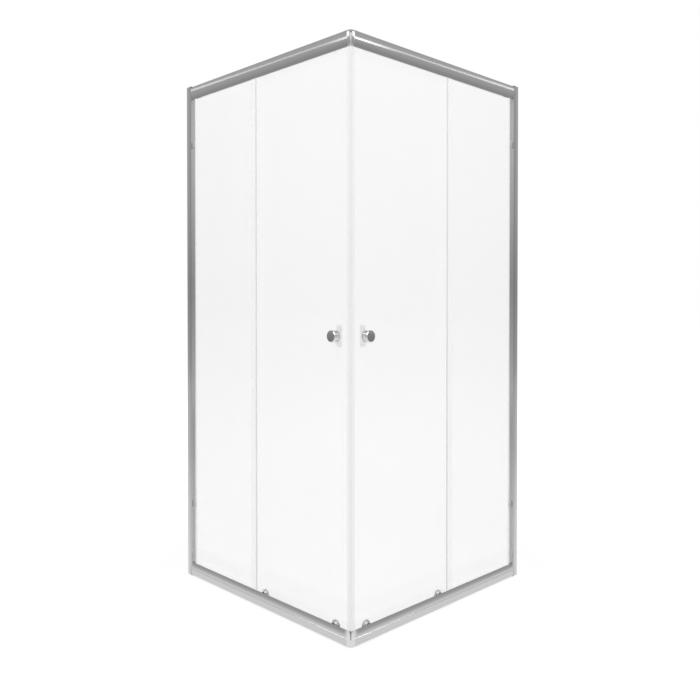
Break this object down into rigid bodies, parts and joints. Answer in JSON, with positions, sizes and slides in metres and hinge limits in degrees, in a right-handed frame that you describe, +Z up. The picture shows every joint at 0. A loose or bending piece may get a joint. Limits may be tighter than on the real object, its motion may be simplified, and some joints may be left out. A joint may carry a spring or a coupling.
{
  "type": "shower enclosure",
  "caption": "Square corner-entry shower enclosure with fixed frosted panes and sliding frosted doors on rollers that close magnetically at the front corner, in a bright aluminium frame.",
  "frame": {"origin": "middle of the square footprint, on the floor", "axes": "+Z up; the front corner lies towards +X and -Y, the walls at -X and +Y"},
  "size_m": [0.89, 0.89, 1.85],
  "materials": {
    "bright_aluminium": "bright polished anodised",
    "chrome": "bright chrome plate",
    "frosted_glass": "frosted tempered glass",
    "clear_seal": "translucent soft PVC",
    "soft_rubber": "soft grey elastomer",
    "magnet": "flexible magnet bar",
    "nylon": "moulded nylon",
    "steel": "stainless steel",
    "grey_cap": "moulded cover cap"
  },
  "bodies": {
    "frame": {"wall_channel_left": "bright_aluminium", "side_post_left": "bright_aluminium", "glazing_channel_left": "bright_aluminium", "top_rail_left": "bright_aluminium", "bottom_rail_left": "bright_aluminium", "fixed_glass_left": "frosted_glass", "fixed_glass_gasket_left": "clear_seal", "fixed_edge_seal_left": "clear_seal", "wall_channel_right": "bright_aluminium", "side_post_right": "bright_aluminium", "glazing_channel_right": "bright_aluminium", "top_rail_right": "bright_aluminium", "bottom_rail_right": "bright_aluminium", "fixed_glass_right": "frosted_glass", "fixed_glass_gasket_right": "clear_seal", "fixed_edge_seal_right": "clear_seal", "top_corner_connector": "chrome", "bottom_corner_connector": "chrome", "connector_screws": "steel", "rail_screws": "steel", "adjusting_screws": "steel", "clamp_screws": "steel", "screw_caps": "grey_cap", "door_stops": "soft_rubber"},
    "door_left": {"door_glass_left": "frosted_glass", "magnet_seal_left": "clear_seal", "magnet_strip_left": "magnet", "door_edge_seal_left": "clear_seal", "door_knob_left": "chrome", "handle_washers_left": "soft_rubber", "inner_handle_left": "chrome", "handle_screw_left": "steel", "upper_axles_left": "steel", "lower_caps_left": "chrome", "lower_housings_left": "nylon", "lower_springs_left": "steel"},
    "upper_wheel_front_left": {"upper_wheel_front_left": "nylon"},
    "lower_wheel_front_left": {"lower_wheel_front_left": "nylon"},
    "lower_slider_front_left": {"lower_slider_front_left": "steel"},
    "upper_wheel_rear_left": {"upper_wheel_rear_left": "nylon"},
    "lower_wheel_rear_left": {"lower_wheel_rear_left": "nylon"},
    "lower_slider_rear_left": {"lower_slider_rear_left": "steel"},
    "door_right": {"door_glass_right": "frosted_glass", "magnet_seal_right": "clear_seal", "magnet_strip_right": "magnet", "door_edge_seal_right": "clear_seal", "door_knob_right": "chrome", "handle_washers_right": "soft_rubber", "inner_handle_right": "chrome", "handle_screw_right": "steel", "upper_axles_right": "steel", "lower_caps_right": "chrome", "lower_housings_right": "nylon", "lower_springs_right": "steel"},
    "upper_wheel_front_right": {"upper_wheel_front_right": "nylon"},
    "lower_wheel_front_right": {"lower_wheel_front_right": "nylon"},
    "lower_slider_front_right": {"lower_slider_front_right": "steel"},
    "upper_wheel_rear_right": {"upper_wheel_rear_right": "nylon"},
    "lower_wheel_rear_right": {"lower_wheel_rear_right": "nylon"},
    "lower_slider_rear_right": {"lower_slider_rear_right": "steel"}
  },
  "joints": [
    {"name": "door_slide_left", "type": "slide", "parent": "frame", "child": "door_left", "axis": [-1, 0, 0], "range_m": [0, 0.33]},
    {"name": "upper_roll_front_left", "type": "hinge", "parent": "door_left", "child": "upper_wheel_front_left", "pos_m": [0.347, -0.4025, 1.8268], "axis": [0, 1, 0], "range_deg": [-1895, 0]},
    {"name": "lower_release_front_left", "type": "slide", "parent": "door_left", "child": "lower_slider_front_left", "axis": [0, 0, 1], "range_m": [0, 0.0022], "stiffness_N_per_m": 1500, "springref_m": -0.003, "deforming": ["lower_springs_left"]},
    {"name": "lower_roll_front_left", "type": "hinge", "parent": "lower_slider_front_left", "child": "lower_wheel_front_left", "pos_m": [0.347, -0.4105, 0.0113], "axis": [0, 1, 0], "range_deg": [-2706, 0]},
    {"name": "upper_roll_rear_left", "type": "hinge", "parent": "door_left", "child": "upper_wheel_rear_left", "pos_m": [-0.005, -0.4025, 1.8268], "axis": [0, 1, 0], "range_deg": [-1895, 0]},
    {"name": "lower_release_rear_left", "type": "slide", "parent": "door_left", "child": "lower_slider_rear_left", "axis": [0, 0, 1], "range_m": [0, 0.0022], "stiffness_N_per_m": 1500, "springref_m": -0.003, "deforming": ["lower_springs_left"]},
    {"name": "lower_roll_rear_left", "type": "hinge", "parent": "lower_slider_rear_left", "child": "lower_wheel_rear_left", "pos_m": [-0.005, -0.4105, 0.0113], "axis": [0, 1, 0], "range_deg": [-2706, 0]},
    {"name": "door_slide_right", "type": "slide", "parent": "frame", "child": "door_right", "axis": [0, 1, 0], "range_m": [0, 0.33]},
    {"name": "upper_roll_front_right", "type": "hinge", "parent": "door_right", "child": "upper_wheel_front_right", "pos_m": [0.4025, -0.347, 1.8268], "axis": [1, 0, 0], "range_deg": [-1895, 0]},
    {"name": "lower_release_front_right", "type": "slide", "parent": "door_right", "child": "lower_slider_front_right", "axis": [0, 0, 1], "range_m": [0, 0.0022], "stiffness_N_per_m": 1500, "springref_m": -0.003, "deforming": ["lower_springs_right"]},
    {"name": "lower_roll_front_right", "type": "hinge", "parent": "lower_slider_front_right", "child": "lower_wheel_front_right", "pos_m": [0.4105, -0.347, 0.0113], "axis": [1, 0, 0], "range_deg": [-2706, 0]},
    {"name": "upper_roll_rear_right", "type": "hinge", "parent": "door_right", "child": "upper_wheel_rear_right", "pos_m": [0.4025, 0.005, 1.8268], "axis": [1, 0, 0], "range_deg": [-1895, 0]},
    {"name": "lower_release_rear_right", "type": "slide", "parent": "door_right", "child": "lower_slider_rear_right", "axis": [0, 0, 1], "range_m": [0, 0.0022], "stiffness_N_per_m": 1500, "springref_m": -0.003, "deforming": ["lower_springs_right"]},
    {"name": "lower_roll_rear_right", "type": "hinge", "parent": "lower_slider_rear_right", "child": "lower_wheel_rear_right", "pos_m": [0.4105, 0.005, 0.0113], "axis": [1, 0, 0], "range_deg": [-2706, 0]}
  ],
  "couplings": [
    {"joint": "upper_roll_front_left", "follows": "door_slide_left", "rad_per_m": -100},
    {"joint": "lower_roll_front_left", "follows": "door_slide_left", "rad_per_m": -142.86},
    {"joint": "upper_roll_rear_left", "follows": "door_slide_left", "rad_per_m": -100},
    {"joint": "lower_roll_rear_left", "follows": "door_slide_left", "rad_per_m": -142.86},
    {"joint": "upper_roll_front_right", "follows": "door_slide_right", "rad_per_m": -100},
    {"joint": "lower_roll_front_right", "follows": "door_slide_right", "rad_per_m": -142.86},
    {"joint": "upper_roll_rear_right", "follows": "door_slide_right", "rad_per_m": -100},
    {"joint": "lower_roll_rear_right", "follows": "door_slide_right", "rad_per_m": -142.86}
  ]
}
